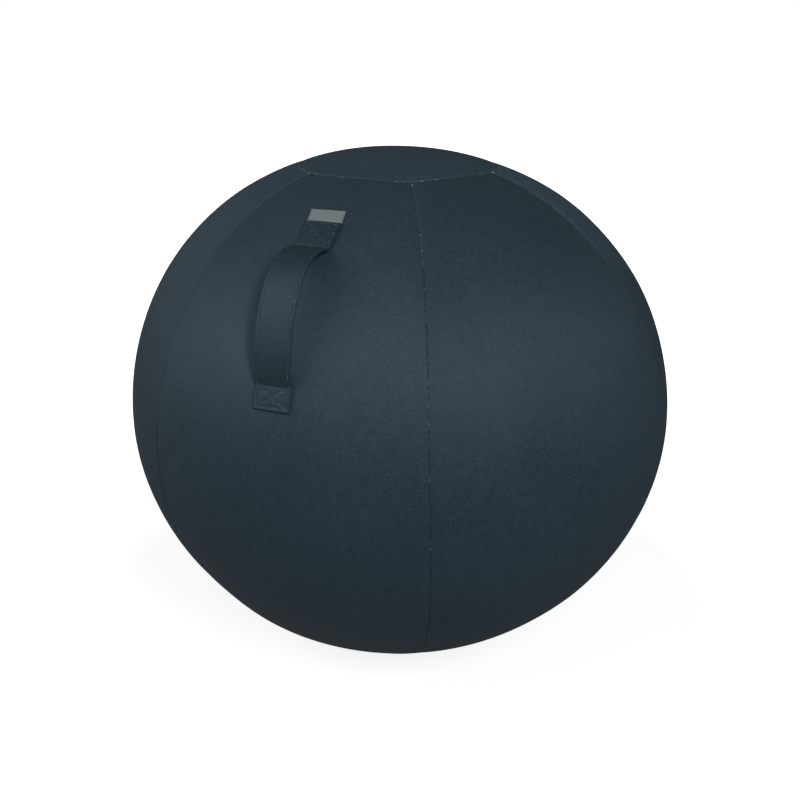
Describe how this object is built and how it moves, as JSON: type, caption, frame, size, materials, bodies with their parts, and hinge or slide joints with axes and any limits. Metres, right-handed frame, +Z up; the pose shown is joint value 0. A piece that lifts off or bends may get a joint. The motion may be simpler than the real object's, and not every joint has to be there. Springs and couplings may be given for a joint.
{
  "type": "sitting ball",
  "caption": "Sitting ball: an inflatable ball in a sewn fabric cover with a carrying handle, a zip beside the base and a weight ring that keeps it upright.",
  "frame": {"origin": "middle of the base, on the floor it stands on", "axes": "+Z up; -Y is the front, the side with the carrying handle; +X is to the right of the handle"},
  "size_m": [0.6498, 0.6498, 0.6074],
  "materials": {
    "cover_fabric": "fine brushed weave, dark blue-grey",
    "base_fabric": "coated weave, near black",
    "grip_rubber": "matt printed dots",
    "casing_fabric": "plain nylon",
    "ballast": "dry sand",
    "ball_plastic": "soft satin film",
    "plug_plastic": "moulded, satin",
    "zip_tape": "woven tape",
    "zip_plastic": "moulded teeth",
    "zip_metal": "satin die-cast",
    "label_fabric": "woven label, bare"
  },
  "bodies": {
    "root": {"top_panel": "cover_fabric", "side_panel_1": "cover_fabric", "side_panel_2": "cover_fabric", "side_panel_3": "cover_fabric", "side_panel_4": "cover_fabric", "side_panel_5": "cover_fabric", "side_panel_6": "cover_fabric", "base_panel": "base_fabric", "grip_dots": "grip_rubber", "ring_casing": "casing_fabric", "ring_filling": "ballast", "inner_ball": "ball_plastic", "valve_seat": "ball_plastic", "zip_tape_upper": "zip_tape", "zip_tape_lower": "zip_tape", "zip_teeth_upper": "zip_plastic", "zip_teeth_lower": "zip_plastic", "zip_end_stops": "zip_metal", "handle_strap": "cover_fabric", "handle_label": "label_fabric", "handle_backing": "cover_fabric"},
    "slider": {"zip_slider": "zip_metal"},
    "puller": {"zip_puller": "zip_metal"},
    "plug": {"valve_plug": "plug_plastic"}
  },
  "joints": [
    {"name": "zip_travel", "type": "hinge", "parent": "root", "child": "slider", "pos_m": [0, 0, 0.0225], "axis": [0, 0, 1], "range_deg": [0, 110.5], "deforming": ["zip_teeth_upper", "zip_teeth_lower"]},
    {"name": "puller_swing", "type": "hinge", "parent": "slider", "child": "puller", "pos_m": [0.06791, 0.13752, 0.02013], "axis": [0.3649, 0.7389, 0.5664], "range_deg": [-85, 85]},
    {"name": "plug_pull", "type": "slide", "parent": "root", "child": "plug", "axis": [0, 0, -1], "range_m": [0, 0.0114]}
  ]
}
